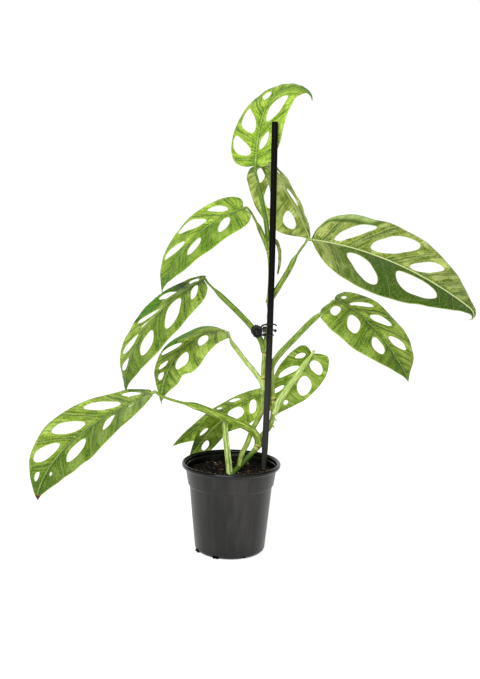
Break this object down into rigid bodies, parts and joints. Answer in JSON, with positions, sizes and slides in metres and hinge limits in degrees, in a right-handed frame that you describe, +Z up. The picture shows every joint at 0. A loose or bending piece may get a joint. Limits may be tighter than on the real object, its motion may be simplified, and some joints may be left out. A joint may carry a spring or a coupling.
{
  "type": "potted plant",
  "caption": "Swiss cheese vine (Monstera adansonii) with holed leaves on long stalks, clipped to an upright stake in a round nursery pot.",
  "frame": {"origin": "centre of the pot's flat underside", "axes": "+Z up along the stake and the pot's axis, -Y towards the front of the plant, +X to the right seen from the front"},
  "size_m": [0.5265, 0.1764, 0.5685],
  "materials": {
    "pot_plastic": "thin semi-gloss blow-moulded plastic, dark grey",
    "potting_soil": "damp crumbly potting soil, nearly black",
    "stake_plastic": "satin black extruded plastic",
    "stem": "smooth waxy green stem with brown node rings",
    "aerial_root": "matte olive-brown root",
    "petiole": "smooth pale yellow-green stalk",
    "blade_light": "satin light green leaf with pale veins",
    "blade_mid": "satin mid green leaf with pale veins",
    "blade_dark": "satin dark green leaf with pale veins",
    "blade_olive": "satin olive green leaf with pale veins",
    "clip_plastic": "glossy black moulded plastic",
    "clip_steel": "bright steel wire"
  },
  "bodies": {
    "plant": {"pot": "pot_plastic", "soil": "potting_soil", "stake": "stake_plastic", "stem_lower": "stem", "stem_upper": "stem", "aerial_root": "aerial_root", "leaf_01_petiole": "petiole", "leaf_01_blade": "blade_mid", "leaf_02_petiole": "petiole", "leaf_02_blade": "blade_mid", "leaf_03_petiole": "petiole", "leaf_03_blade": "blade_mid", "leaf_04_petiole": "petiole", "leaf_04_blade": "blade_light", "leaf_05_petiole": "petiole", "leaf_05_blade": "blade_light", "leaf_06_petiole": "petiole", "leaf_06_blade": "blade_olive", "leaf_07_petiole": "petiole", "leaf_07_blade": "blade_olive", "leaf_08_petiole": "petiole", "leaf_08_blade": "blade_mid", "leaf_09_petiole": "petiole", "leaf_09_blade": "blade_mid", "leaf_10_petiole": "petiole", "leaf_10_blade": "blade_dark", "leaf_11_petiole": "petiole", "leaf_11_blade": "blade_dark", "clip_rear_jaw": "clip_plastic", "clip_pin": "clip_steel", "clip_spring": "clip_steel"},
    "front_jaw": {"clip_front_jaw": "clip_plastic"}
  },
  "joints": [
    {"name": "clip_hinge", "type": "hinge", "parent": "plant", "child": "front_jaw", "pos_m": [0.0366, 0.0026, 0.27], "axis": [0, 0, -1], "range_deg": [0, 22], "stiffness_Nm_per_rad": 0.03, "springref_deg": -22.92}
  ]
}
